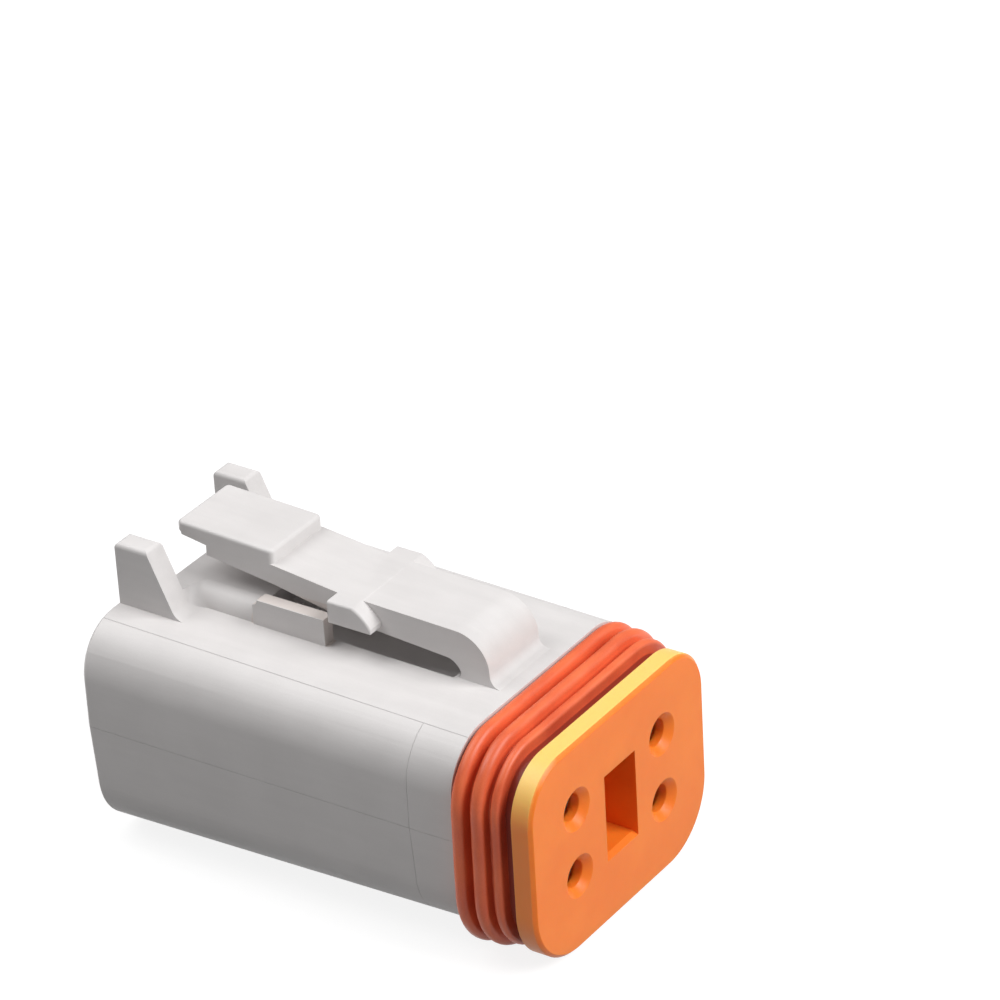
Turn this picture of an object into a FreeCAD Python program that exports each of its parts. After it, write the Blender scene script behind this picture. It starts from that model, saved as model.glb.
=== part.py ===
import FreeCAD, Part
import math
import os

import Sketcher

# Sealed four-way cable plug with a sprung top latch.
# Every piece is drawn about the middle of the contact grid: X runs out of the mating face, which is x = 0,
# Y runs across, Z runs up to the latch. The pieces are then set so that the plug is centred over its
# origin and stands on z = 0.

# Sizes in millimetres. "above" and "below" are measured from the middle of the contact grid, "station" is
# a distance behind the mating face, and "rise" is a height over the front end of the housing's top.
SIZES = [
    # Whole plug and contact grid
    ("length_overall", 42.3),
    ("pin_pitch_across", 12.2),
    ("pin_pitch_up", 6.06),
    # Wedge lock: front plate and hollow stem
    ("plate_width", 24.7),
    ("plate_above", 8.8),
    ("plate_below", 9.5),
    ("plate_thick", 1.8),
    ("plate_upper_radius", 4.4),
    ("plate_lower_radius", 5.8),
    ("plate_bevel", 0.3),
    ("slot_width", 4.4),
    ("slot_height", 7.5),
    ("slot_lead_in", 0.25),
    ("slot_lead_length", 0.5),
    ("pin_hole_diameter", 2.3),
    ("pin_hole_depth", 1.3),
    ("pin_funnel_diameter", 3.65),
    ("pin_funnel_depth", 0.55),
    ("pin_relief_diameter", 3.4),
    ("stem_wall", 1.05),
    ("stem_length", 15.0),
    ("stem_clearance", 0.1),
    ("plate_seat_gap", 0.05),
    # Nose of the housing and the seal round it
    ("nose_width", 21.8),
    ("nose_above", 7.55),
    ("nose_below", 7.35),
    ("nose_upper_radius", 3.2),
    ("nose_lower_radius", 4.2),
    ("seal_wall", 1.0),
    ("seal_gap", 1.1),
    ("rib_height", 1.35),
    ("rib_width", 1.1),
    ("rib_spacing", 1.5),
    ("rib_end_margin", 0.05),
    ("front_rib_drop", 0.5),
    # Housing shell
    ("body_front_width", 24.9),
    ("body_rear_width", 25.6),
    ("body_front_above", 9.75),
    ("body_rear_above", 10.15),
    ("body_front_below", 8.4),
    ("body_rear_below", 9.2),
    ("body_upper_radius", 4.6),
    ("body_lower_radius", 5.4),
    ("side_tuck", 0.4),
    ("parting_above", 1.4),
    ("rear_bevel", 0.4),
    ("shell_wall", 1.7),
    ("recess_roof", 3.1),
    ("recess_depth", 7.4),
    # Contact cavities and locking fingers
    ("cavity_diameter", 4.0),
    ("cavity_front_diameter", 3.4),
    ("contact_stop_station", 9.1),
    ("finger_length", 7.0),
    ("finger_width", 2.0),
    ("finger_slit", 0.45),
    ("finger_tip_gap", 0.5),
    ("finger_tooth", 0.6),
    ("finger_tooth_length", 1.3),
    # Latch
    ("arm_width", 6.86),
    ("root_thick", 2.6),
    ("root_station", 10.58),
    ("pivot_rise", 0.3),
    ("foot_clearance", 0.05),
    ("arm_bend_radius", 3.05),
    ("arm_inner_radius", 1.5),
    ("arm_front_rise", 4.17),
    ("arm_front_thick", 2.6),
    ("arm_kink_station", 23.3),
    ("arm_kink_rise", 4.45),
    ("arm_rear_rise", 5.17),
    ("arm_rear_thick", 1.75),
    ("pad_station", 29.5),
    ("pad_step", 1.2),
    ("pad_length", 9.3),
    ("pad_lift", 0.35),
    ("pad_thick", 1.1),
    ("pad_overhang", 2.8),
    ("pad_lip_depth", 0.45),
    ("pad_heel_depth", 0.9),
    ("pad_corner_round", 0.45),
    ("ear_span", 9.84),
    ("ear_length", 4.0),
    ("ear_top_length", 2.3),
    ("ear_tip", 0.4),
    ("ear_ramp_radius", 4.0),
    ("ear_lift", 0.27),
    # Guards, hump and rails on the housing's top
    ("fin_span", 15.2),
    ("fin_thick", 2.05),
    ("fin_inset", 0.4),
    ("fin_rise", 5.9),
    ("fin_top_length", 3.1),
    ("fin_base_length", 6.1),
    ("fin_round", 0.45),
    ("hump_span", 9.54),
    ("hump_rise", 1.92),
    ("hump_crest_inset", 3.4),
    ("ramp_rear_above", 8.15),
    ("hump_shoulder", 1.6),
    ("valley_round", 1.2),
    ("rail_span", 9.84),
    ("rail_thick", 1.2),
    ("rail_station", 23.8),
    ("rail_length", 6.9),
    ("rail_rise", 2.55),
    ("rail_round", 0.5),
    ("channel_station", 12.5),
    ("channel_length", 16.6),
    ("channel_depth", 1.1),
    ("sunk", 0.8),
    # Wire seal in the rear of the housing
    ("wire_seal_inset", 0.7),
    ("wire_seal_relief", 0.35),
    ("wire_seal_clearance", 0.02),
    ("wire_seal_rib", 1.2),
    ("wire_hole_diameter", 2.2),
    # Socket contacts and their hoods
    ("contact_mouth_station", 3.95),
    ("contact_barrel_diameter", 2.6),
    ("contact_bore_diameter", 1.6),
    ("contact_bore_depth", 7.2),
    ("contact_collar_diameter", 3.6),
    ("contact_collar_length", 1.4),
    ("contact_rear_length", 14.6),
    ("tine_slot_width", 0.35),
    ("tine_slot_depth", 4.5),
    ("hood_wall", 0.25),
    ("hood_clearance", 0.02),
    ("hood_reach", 0.8),
]

doc = FreeCAD.newDocument("sealed_plug")
sheet = doc.addObject("Spreadsheet::Sheet", "sizes")
for row, (size_name, millimetres) in enumerate(SIZES, 1):
    sheet.set("A%d" % row, size_name)
    sheet.set("B%d" % row, str(millimetres))
    sheet.setAlias("B%d" % row, size_name)
doc.recompute()

# How many there are of each
SEAL_RIBS = 3
WIRE_SEAL_RIBS = 1

# Sizes that follow from others
SEAL_LENGTH = "(%d * sizes.rib_spacing + sizes.rib_width + 2 * sizes.rib_end_margin)" % (SEAL_RIBS - 1)
SHOULDER = "(sizes.plate_thick + sizes.seal_gap + %s)" % SEAL_LENGTH
NOSE_FRONT = "(sizes.plate_thick + sizes.plate_seat_gap)"
RIB_REACH = "(sizes.seal_wall + sizes.rib_height)"
AXIS_HEIGHT = "(sizes.nose_below + %s)" % RIB_REACH
TOP = "sizes.body_front_above"
SUNK_TOP = "(sizes.body_front_above - sizes.sunk)"
PIVOT_ABOVE = "(sizes.body_front_above + sizes.pivot_rise)"
CHANNEL_HALF = "(sizes.slot_width / 2 + sizes.stem_wall + sizes.stem_clearance)"
CHANNEL_HALF_HEIGHT = "(sizes.slot_height / 2 + sizes.stem_wall + sizes.stem_clearance)"
CONTACT_ACROSS = "sizes.pin_pitch_across / 2"
CONTACT_UP = "sizes.pin_pitch_up / 2"
CONTACT_SIDES = [(-1, 1), (1, 1), (-1, -1), (1, -1)]


def value(size):
    return float(sheet.evalExpression(size))


def minus(size):
    return "-(%s)" % size


# Bodies and sketches

def new_body(label, across="0", up="0"):
    body = doc.addObject("PartDesign::Body", label)
    body.Label = label
    body.setExpression(".Placement.Base.x", "sizes.length_overall / 2")
    body.setExpression(".Placement.Base.y", across)
    body.setExpression(".Placement.Base.z", "%s + %s" % (AXIS_HEIGHT, up))
    return body


def origin_item(body, role):
    for item in body.Origin.OriginFeatures:
        if item.Role == role:
            return item
    raise RuntimeError("no origin item " + role)


def new_sketch(body, name, plane, along="0", above="0"):
    sketch = body.newObject("Sketcher::SketchObject", name)
    sketch.AttachmentSupport = [(origin_item(body, plane), "")]
    sketch.MapMode = "FlatFace"
    sketch.setExpression(".AttachmentOffset.Base.y", above)
    sketch.setExpression(".AttachmentOffset.Base.z", along)
    return sketch


def cross_sketch(body, name, station):
    # A section square to X, seen from the front: its own axes are Y and Z
    return new_sketch(body, name, "YZ_Plane", along=minus(station))


def side_sketch(body, name, near_side="0"):
    # A side view, its own axes are X and Z, set out towards -Y by near_side
    return new_sketch(body, name, "XZ_Plane", along=near_side)


def bind(sketch, kind, items, size):
    number = sketch.addConstraint(Sketcher.Constraint(kind, *items, abs(value(size))))
    name = "size%d" % number
    sketch.renameConstraint(number, name)
    sketch.setExpression("Constraints." + name, size)


def place(sketch, edge, point, x, y):
    for kind, axis, size in (("DistanceX", -2, x), ("DistanceY", -1, y)):
        amount = value(size)
        if abs(amount) < 1e-9:
            sketch.addConstraint(Sketcher.Constraint("PointOnObject", edge, point, axis))
        elif amount > 0:
            bind(sketch, kind, (-1, 1, edge, point), size)
        else:
            bind(sketch, kind, (edge, point, -1, 1), minus(size))


def arc_between(first, last, radius, bulge):
    # bulge is 1 where the arc bows to the right of its own direction, -1 to the left
    chord = last - first
    half = chord.Length / 2
    sagitta = radius - math.sqrt(max(radius * radius - half * half, 0.0))
    right = FreeCAD.Vector(chord.y, -chord.x, 0).normalize()
    middle = (first + last) * 0.5 + right * (bulge * sagitta)
    return Part.Arc(first, middle, last)


def outline(sketch, steps):
    # Each step is (x, y) for a straight edge that ends there, or (x, y, radius, bulge) for an arc
    corners = [FreeCAD.Vector(value(step[0]), value(step[1]), 0) for step in steps]
    edges = []
    for number, step in enumerate(steps):
        first = corners[number - 1]
        last = corners[number]
        if len(step) == 2:
            edge = sketch.addGeometry(Part.LineSegment(first, last), False)
            edges.append((edge, 1, 2))
        else:
            edge = sketch.addGeometry(arc_between(first, last, value(step[2]), step[3]), False)
            bind(sketch, "Radius", (edge,), step[2])
            edges.append((edge, 1, 2) if step[3] > 0 else (edge, 2, 1))
    for number, step in enumerate(steps):
        edge, _, end = edges[number]
        following, start, _ = edges[(number + 1) % len(steps)]
        sketch.addConstraint(Sketcher.Constraint("Coincident", edge, end, following, start))
        place(sketch, edge, end, step[0], step[1])


def rectangle(sketch, left, right, bottom, top):
    outline(sketch, [(right, bottom), (right, top), (left, top), (left, bottom)])


def corner_cut(sketch, x, half_width, x_side, y_side, radius):
    # The sliver between a square corner at (x, +-half_width) and its round
    y = "%d * (%s)" % (y_side, half_width)
    outline(sketch, [(x, y), ("%s - %d * %s" % (x, x_side, radius), y),
                     (x, "%s - %d * %s" % (y, y_side, radius), radius, -x_side * y_side)])


def circle(sketch, x, y, diameter):
    middle = FreeCAD.Vector(value(x), value(y), 0)
    edge = sketch.addGeometry(Part.Circle(middle, FreeCAD.Vector(0, 0, 1), value(diameter) / 2), False)
    place(sketch, edge, 3, x, y)
    bind(sketch, "Diameter", (edge,), diameter)


def grid_circles(sketch, diameter):
    for across, up in CONTACT_SIDES:
        circle(sketch, "%d * %s" % (across, CONTACT_ACROSS), "%d * %s" % (up, CONTACT_UP), diameter)


def shield(half, above, below, upper, lower, tuck=None):
    # Rounded section with its own upper and lower corner radii. With a tuck the sides run in below the
    # parting line, as on a moulding drawn off both ways.
    low_half = half if tuck is None else "(%s - %s)" % (half, tuck)
    right = [("%s - %s" % (low_half, lower), minus(below)),
             (low_half, "-%s + %s" % (below, lower), lower, 1)]
    left = [(minus(low_half), "-%s + %s" % (below, lower)),
            ("-%s + %s" % (low_half, lower), minus(below), lower, 1)]
    if tuck is not None:
        right.append((half, "sizes.parting_above"))
        left.insert(0, (minus(half), "sizes.parting_above"))
    right.append((half, "%s - %s" % (above, upper)))
    crown = [("%s - %s" % (half, upper), above, upper, 1), ("-%s + %s" % (half, upper), above)]
    left.insert(0, (minus(half), "%s - %s" % (above, upper), upper, 1))
    return right + crown + left


# Features

def finish_feature(body, feature, before, adds):
    doc.recompute()
    after = feature.Shape.Volume
    if adds and after <= before + 1e-6 or not adds and after >= before - 1e-6:
        raise RuntimeError("%s changed nothing" % feature.Name)
    body.Tip = feature
    return feature


def volume_of(body):
    return body.Tip.Shape.Volume if body.Tip and not body.Tip.Shape.isNull() else 0.0


def extrude(body, kind, name, sketch, length, forward, symmetric):
    before = volume_of(body)
    feature = body.newObject("PartDesign::" + kind, name)
    feature.Profile = sketch
    feature.setExpression("Length", length)
    if symmetric:
        feature.SideType = "Symmetric"
    feature.Reversed = forward == (kind == "Pocket")
    return finish_feature(body, feature, before, kind == "Pad")


def pad(body, name, sketch, length, forward=True, symmetric=False):
    # forward follows the sketch's own normal: +X for a cross section, -Y for a side view
    return extrude(body, "Pad", name, sketch, length, forward, symmetric)


def pocket(body, name, sketch, length, forward=True, symmetric=False):
    return extrude(body, "Pocket", name, sketch, length, forward, symmetric)


def turn(body, kind, name, sketch):
    before = volume_of(body)
    feature = body.newObject("PartDesign::" + kind, name)
    feature.Profile = sketch
    feature.ReferenceAxis = (sketch, ["H_Axis"])
    feature.Angle = 360
    return finish_feature(body, feature, before, kind == "Revolution")


def mirror_across(body, name, feature):
    before = volume_of(body)
    mirrored = body.newObject("PartDesign::Mirrored", name)
    mirrored.Originals = [feature]
    mirrored.MirrorPlane = (origin_item(body, "XZ_Plane"), [""])
    return finish_feature(body, mirrored, before, feature.TypeId == "PartDesign::Pad")


def trim_edges(body, kind, name, size, wanted):
    base = body.Tip
    names = ["Edge%d" % (number + 1) for number, edge in enumerate(base.Shape.Edges) if wanted(edge)]
    if not names:
        raise RuntimeError("%s found no edge" % name)
    feature = body.newObject("PartDesign::" + kind, name)
    feature.Base = (base, names)
    feature.setExpression("Radius" if kind == "Fillet" else "Size", size)
    doc.recompute()
    if abs(feature.Shape.Volume - base.Shape.Volume) < 1e-9:
        raise RuntimeError("%s trimmed nothing" % name)
    body.Tip = feature
    return feature


def near(first, second, margin=0.02):
    return abs(first - second) < margin


def lies_at_x(edge, x):
    return near(edge.BoundBox.XMin, x) and near(edge.BoundBox.XMax, x)


def lies_at_z(edge, z):
    return near(edge.BoundBox.ZMin, z) and near(edge.BoundBox.ZMax, z)


# Housing

def fin_front(height_over_top):
    # Where the sloped front of a guard fin lies at a height over the top, as an x expression
    run = "(sizes.fin_base_length - sizes.fin_top_length)"
    full = "(sizes.fin_rise + sizes.sunk)"
    return ("-sizes.length_overall + sizes.fin_inset + sizes.fin_base_length"
            " - %s * (%s + sizes.sunk) / %s" % (run, height_over_top, full))


def rear_steps(inset, roof_inset, tuck="sizes.side_tuck"):
    # The housing's rear outline, or one that runs inside it
    return shield("(sizes.body_rear_width / 2 - %s)" % inset, "(sizes.body_rear_above - %s)" % roof_inset,
                  "(sizes.body_rear_below - %s)" % inset, "(sizes.body_upper_radius - %s)" % inset,
                  "(sizes.body_lower_radius - %s)" % inset, tuck)


def recess_steps(clearance):
    # The rear recess leaves a wall all round, thicker on top; what fits in it gives its clearance
    return rear_steps("(sizes.shell_wall + %s)" % clearance, "(sizes.recess_roof + %s)" % clearance, None)


def housing_shell(body):
    front = cross_sketch(body, "shell_front", SHOULDER)
    outline(front, shield("sizes.body_front_width / 2", "sizes.body_front_above", "sizes.body_front_below",
                          "sizes.body_upper_radius", "sizes.body_lower_radius", "sizes.side_tuck"))
    rear = cross_sketch(body, "shell_rear", "sizes.length_overall - sizes.rear_bevel")
    outline(rear, rear_steps("0", "0"))
    rim = cross_sketch(body, "shell_rim", "sizes.length_overall")
    outline(rim, rear_steps("sizes.rear_bevel", "sizes.rear_bevel"))
    shell = body.newObject("PartDesign::AdditiveLoft", "shell")
    shell.Profile = rim
    shell.Sections = [rear, front]
    shell.Ruled = True
    finish_feature(body, shell, 0.0, True)

    nose = cross_sketch(body, "nose_section", SHOULDER)
    outline(nose, shield("sizes.nose_width / 2", "sizes.nose_above", "sizes.nose_below",
                         "sizes.nose_upper_radius", "sizes.nose_lower_radius"))
    pad(body, "nose", nose, "%s - %s" % (SHOULDER, NOSE_FRONT))


def housing_guards(body):
    rear = "-sizes.length_overall + sizes.fin_inset"
    fin_top = "%s + sizes.fin_rise" % TOP
    fin = side_sketch(body, "fin_side", "sizes.fin_span / 2")
    outline(fin, [("%s + sizes.fin_base_length" % rear, SUNK_TOP),
                  ("%s + sizes.fin_top_length" % rear, fin_top),
                  (rear, fin_top),
                  (rear, SUNK_TOP)])
    near_fin = pad(body, "fin", fin, "sizes.fin_thick", forward=False)
    mirror_across(body, "fins", near_fin)
    fin_top_level = value(fin_top)
    trim_edges(body, "Fillet", "fin_rounds", "sizes.fin_round", lambda edge: lies_at_z(edge, fin_top_level))

    # Low bridge between the fins, flush with their sloped fronts, and behind its crest a ramp that runs
    # down to the rear rim
    hump_top = "%s + sizes.hump_rise" % TOP
    crest = "-sizes.length_overall + sizes.hump_crest_inset"
    bridge = side_sketch(body, "bridge_side")
    outline(bridge, [(fin_front("(-sizes.sunk)"), SUNK_TOP), (fin_front("sizes.hump_rise"), hump_top),
                     (rear, hump_top), (rear, SUNK_TOP)])
    pad(body, "bridge", bridge, "sizes.fin_span - sizes.fin_thick", symmetric=True)
    ramp = side_sketch(body, "ramp_side")
    outline(ramp, [(crest, hump_top), ("-sizes.length_overall", hump_top),
                   ("-sizes.length_overall", "sizes.ramp_rear_above")])
    pocket(body, "ramp", ramp, "sizes.fin_span - 2 * sizes.fin_thick", symmetric=True)

    # Hump with round shoulders under the thumb pad, running forward into the rails
    hump_front = "(sizes.rail_station + sizes.rail_length - sizes.rail_round)"
    hump = cross_sketch(body, "hump_section", hump_front)
    half = "sizes.hump_span / 2"
    outline(hump, [(minus(half), SUNK_TOP), (half, SUNK_TOP),
                   (half, "%s - sizes.hump_shoulder" % hump_top),
                   ("%s - sizes.hump_shoulder" % half, hump_top, "sizes.hump_shoulder", 1),
                   ("-%s + sizes.hump_shoulder" % half, hump_top),
                   (minus(half), "%s - sizes.hump_shoulder" % hump_top, "sizes.hump_shoulder", 1)])
    pad(body, "hump", hump, "sizes.length_overall - sizes.hump_crest_inset - %s" % hump_front, forward=False)

    # Valleys where the sloped fronts run out into the hump's sides and the housing's top
    slope_head = value(fin_front("sizes.hump_rise"))
    slope_foot = value(fin_front("0"))
    front_top = value(TOP)
    rear_top = value("sizes.body_rear_above")
    side = value(half)

    def in_valley(edge):
        box = edge.BoundBox
        on_slope = box.XMin > slope_head - 0.02 and box.XMax < slope_foot and box.ZMin > front_top
        up_the_hump = -side - 0.02 < box.YMin and box.YMax < side + 0.02
        return on_slope and (up_the_hump or box.ZMax < rear_top)

    # On a short plug the room up to the rails' rear ends limits this round
    room = "(%s - sizes.rail_station - sizes.rail_length)" % minus(fin_front("0"))
    trim_edges(body, "Fillet", "valley_rounds", "min(sizes.valley_round; %s / 3)" % room, in_valley)


def housing_rails(body):
    rail_top = "%s + sizes.rail_rise" % TOP
    front = "-sizes.rail_station"
    rear = "-sizes.rail_station - sizes.rail_length"
    rail = side_sketch(body, "rail_side", "sizes.rail_span / 2")
    outline(rail, [(front, SUNK_TOP), (front, rail_top), ("%s + sizes.rail_round" % rear, rail_top),
                   (rear, "%s - sizes.rail_round" % rail_top, "sizes.rail_round", -1), (rear, SUNK_TOP)])
    near_rail = pad(body, "rail", rail, "sizes.rail_thick", forward=False)
    mirror_across(body, "rails", near_rail)

    # Sunk channel under the arm, between the rails
    channel = side_sketch(body, "channel_side")
    floor = "%s - sizes.channel_depth" % TOP
    rectangle(channel, "-sizes.channel_station - sizes.channel_length", "-sizes.channel_station", floor,
              "%s + sizes.fin_rise" % TOP)
    pocket(body, "channel", channel, "sizes.rail_span - 2 * sizes.rail_thick", symmetric=True)

    # Trough that the round foot of the latch sits in
    trough = side_sketch(body, "trough_side")
    circle(trough, "-sizes.root_station", PIVOT_ABOVE, "sizes.root_thick + 2 * sizes.foot_clearance")
    pocket(body, "trough", trough, "sizes.arm_width + 2 * sizes.foot_clearance", symmetric=True)


def housing_bores(body):
    recess = cross_sketch(body, "recess_section", "sizes.length_overall")
    outline(recess, recess_steps("0"))
    pocket(body, "recess", recess, "sizes.recess_depth")

    cavities = cross_sketch(body, "cavity_circles", "sizes.length_overall")
    grid_circles(cavities, "sizes.cavity_diameter")
    pocket(body, "cavities", cavities, "sizes.length_overall - sizes.contact_stop_station")

    fronts = cross_sketch(body, "cavity_front_circles", "sizes.contact_stop_station")
    grid_circles(fronts, "sizes.cavity_front_diameter")
    pocket(body, "cavity_fronts", fronts, "sizes.contact_stop_station")

    channel = cross_sketch(body, "wedge_channel_section", NOSE_FRONT)
    rectangle(channel, minus(CHANNEL_HALF), CHANNEL_HALF, minus(CHANNEL_HALF_HEIGHT), CHANNEL_HALF_HEIGHT)
    pocket(body, "wedge_channel", channel, "sizes.stem_length + sizes.stem_wall", forward=False)


def housing_fingers(body):
    # Tongues cut free in the walls between the wedge channel and the cavities, one for each contact.
    # Their toothed tips stand behind the collars, and the wedge keeps them from springing back.
    tip = "-(sizes.contact_stop_station + sizes.contact_collar_length + sizes.finger_tip_gap / 2)"
    root = "%s - sizes.finger_length" % tip
    end = "%s + sizes.finger_tip_gap" % tip
    slits = side_sketch(body, "finger_slits")
    for side in (1, -1):
        middle = "%d * %s" % (side, CONTACT_UP)
        low = "%s - sizes.finger_width / 2" % middle
        high = "%s + sizes.finger_width / 2" % middle
        outline(slits, [(end, "%s - sizes.finger_slit" % low), (end, "%s + sizes.finger_slit" % high),
                        (root, "%s + sizes.finger_slit" % high), (root, high), (tip, high), (tip, low),
                        (root, low), (root, "%s - sizes.finger_slit" % low)])
    reach = "(sizes.pin_pitch_across - sizes.cavity_diameter / 2)"
    pocket(body, "finger_gaps", slits, reach, symmetric=True)

    for name, side in (("upper", 1), ("lower", -1)):
        tooth = new_sketch(body, name + "_tooth_plan", "XY_Plane", along="%d * %s" % (side, CONTACT_UP))
        base = "(%s - sizes.cavity_diameter / 2 - sizes.finger_slit / 2)" % CONTACT_ACROSS
        crest = "(%s - sizes.cavity_diameter / 2 + sizes.finger_tooth)" % CONTACT_ACROSS
        heel = "%s - sizes.finger_tooth_length" % tip
        outline(tooth, [(tip, base), (tip, crest), (heel, base)])
        outline(tooth, [(tip, minus(crest)), (tip, minus(base)), (heel, minus(base))])
        pad(body, name + "_teeth", tooth, "sizes.finger_width", symmetric=True)


def make_housing():
    body = new_body("housing")
    housing_shell(body)
    housing_guards(body)
    housing_rails(body)
    housing_bores(body)
    housing_fingers(body)
    return body


# Latch arm

def make_latch_arm():
    body = new_body("latch_arm")
    radius = "sizes.root_thick / 2"
    pivot = "-sizes.root_station"
    front = "%s + %s" % (pivot, radius)
    back = "%s - %s" % (pivot, radius)
    top = "(%s + sizes.arm_front_rise)" % TOP
    kink = "(%s + sizes.arm_kink_rise)" % TOP
    rear = "(%s + sizes.arm_rear_rise)" % TOP
    pad_front = "-sizes.pad_station"
    pad_rear = "-sizes.pad_station - sizes.pad_length"
    pad_top = "(%s + sizes.pad_step)" % rear
    pad_rear_top = "(%s + sizes.pad_lift)" % pad_top
    ledge = "%s + sizes.pad_overhang" % pad_rear
    side = side_sketch(body, "arm_side")
    outline(side, [
        (front, PIVOT_ABOVE, radius, 1),
        (front, "%s - sizes.arm_bend_radius" % top),
        ("%s - sizes.arm_bend_radius" % front, top, "sizes.arm_bend_radius", 1),
        ("-sizes.arm_kink_station", kink),
        (pad_front, rear),
        (pad_front, pad_top),
        (pad_rear, pad_rear_top),
        (pad_rear, "%s - sizes.pad_thick" % pad_rear_top),
        (ledge, "%s - sizes.pad_thick - sizes.pad_lip_depth" % pad_rear_top),
        (ledge, "%s - sizes.pad_heel_depth" % rear),
        (pad_front, "%s - sizes.arm_rear_thick" % rear),
        ("-sizes.arm_kink_station", "%s - (sizes.arm_front_thick + sizes.arm_rear_thick) / 2" % kink),
        ("%s - sizes.arm_inner_radius" % back, "%s - sizes.arm_front_thick" % top),
        (back, "%s - sizes.arm_front_thick - sizes.arm_inner_radius" % top, "sizes.arm_inner_radius", -1),
        (back, PIVOT_ABOVE),
        (pivot, "%s - %s" % (PIVOT_ABOVE, radius), radius, 1),
    ])
    pad(body, "arm", side, "sizes.arm_width", symmetric=True)

    # Hooks on both sides, ramped at the front and square behind
    ear_rear = "-sizes.arm_kink_station"
    ear_front = "%s + sizes.ear_length" % ear_rear
    ear_low = "%s - (sizes.arm_front_thick + sizes.arm_rear_thick) / 2 + sizes.ear_lift" % kink
    ear = side_sketch(body, "ear_side")
    outline(ear, [
        (ear_front, ear_low),
        (ear_front, "%s + sizes.ear_tip" % ear_low),
        ("%s + sizes.ear_top_length" % ear_rear, kink, "sizes.ear_ramp_radius", 1),
        (ear_rear, kink),
        (ear_rear, ear_low),
    ])
    pad(body, "ears", ear, "sizes.ear_span", symmetric=True)

    # Round corners of the thumb pad, seen from above
    for name, corner_x, x_side, level in (("front", pad_front, 1, rear),
                                          ("rear", pad_rear, -1, "%s - sizes.arm_rear_thick" % rear)):
        corners = new_sketch(body, "pad_%s_corners" % name, "XY_Plane", along=level)
        for y_side in (1, -1):
            corner_cut(corners, corner_x, "sizes.arm_width / 2", x_side, y_side, "sizes.pad_corner_round")
        pocket(body, "pad_%s_rounds" % name, corners,
               "sizes.arm_rear_thick + sizes.pad_step + sizes.pad_lift + sizes.pad_thick")
    return body


# Wedge lock

def make_wedge_lock():
    body = new_body("wedge_lock")
    plate = cross_sketch(body, "plate_section", "0")
    outline(plate, shield("sizes.plate_width / 2", "sizes.plate_above", "sizes.plate_below",
                          "sizes.plate_upper_radius", "sizes.plate_lower_radius"))
    pad(body, "plate", plate, "sizes.plate_thick", forward=False)
    trim_edges(body, "Chamfer", "plate_bevel", "sizes.plate_bevel", lambda edge: lies_at_x(edge, 0.0))

    stem = cross_sketch(body, "stem_section", "sizes.plate_thick")
    half = "(sizes.slot_width / 2 + sizes.stem_wall)"
    half_height = "(sizes.slot_height / 2 + sizes.stem_wall)"
    rectangle(stem, minus(half), half, minus(half_height), half_height)
    pad(body, "stem", stem, "sizes.stem_length", forward=False)

    slot = cross_sketch(body, "slot_section", "0")
    rectangle(slot, "-sizes.slot_width / 2", "sizes.slot_width / 2",
              "-sizes.slot_height / 2", "sizes.slot_height / 2")
    pocket(body, "slot", slot, "sizes.plate_thick + sizes.stem_length", forward=False)

    lead = side_sketch(body, "slot_lead_side")
    outline(lead, [("0", "-sizes.slot_height / 2 - sizes.slot_lead_in"), ("0", "-sizes.slot_height / 2"),
                   ("-sizes.slot_lead_length", "-sizes.slot_height / 2")])
    pocket(body, "slot_lead", lead, "sizes.slot_width", symmetric=True)

    holes = cross_sketch(body, "pin_hole_circles", "0")
    grid_circles(holes, "sizes.pin_hole_diameter")
    pocket(body, "pin_holes", holes, "sizes.plate_thick", forward=False)
    reliefs = cross_sketch(body, "pin_relief_circles", "sizes.pin_hole_depth")
    grid_circles(reliefs, "sizes.pin_relief_diameter")
    pocket(body, "pin_reliefs", reliefs, "sizes.plate_thick - sizes.pin_hole_depth", forward=False)
    for number, (across, up) in enumerate(CONTACT_SIDES, 1):
        funnel = new_sketch(body, "funnel_%d_side" % number, "XZ_Plane",
                            along="%d * %s" % (-across, CONTACT_ACROSS), above="%d * %s" % (up, CONTACT_UP))
        outline(funnel, [("0", "0"), ("0", "sizes.pin_funnel_diameter / 2"),
                         ("-sizes.pin_funnel_depth", "sizes.pin_hole_diameter / 2"),
                         ("-sizes.pin_funnel_depth", "0")])
        turn(body, "Groove", "funnel_%d" % number, funnel)
    return body


# Interface seal

def make_interface_seal():
    body = new_body("interface_seal")
    path = cross_sketch(body, "seal_path", SHOULDER)
    around = shield("sizes.nose_width / 2", "sizes.nose_above", "sizes.nose_below",
                    "sizes.nose_upper_radius", "sizes.nose_lower_radius")
    outline(path, around)

    profile = new_sketch(body, "seal_profile", "XZ_Plane", above="sizes.nose_above")
    rear = "-" + SHOULDER
    steps = [(rear, "0"), ("%s + %s" % (rear, SEAL_LENGTH), "0"),
             ("%s + %s" % (rear, SEAL_LENGTH), "sizes.seal_wall")]
    for rib in reversed(range(SEAL_RIBS)):
        drop = "sizes.front_rib_drop" if rib == SEAL_RIBS - 1 else "0"
        rib_rear = "(%s + sizes.rib_end_margin + %d * sizes.rib_spacing)" % (rear, rib)
        rib_front = "(%s + sizes.rib_width)" % rib_rear
        crown = "(%s - %s)" % (RIB_REACH, drop)
        steps.append((rib_front, "sizes.seal_wall"))
        steps.append((rib_front, crown))
        steps.append((rib_rear, crown))
        steps.append((rib_rear, "sizes.seal_wall"))
    steps.append((rear, "sizes.seal_wall"))
    outline(profile, steps)

    seal = body.newObject("PartDesign::AdditivePipe", "seal")
    seal.Profile = profile
    seal.Spine = (path, [])
    seal.Transition = "Transformed"
    finish_feature(body, seal, 0.0, True)
    return body


# Wire seal

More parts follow.
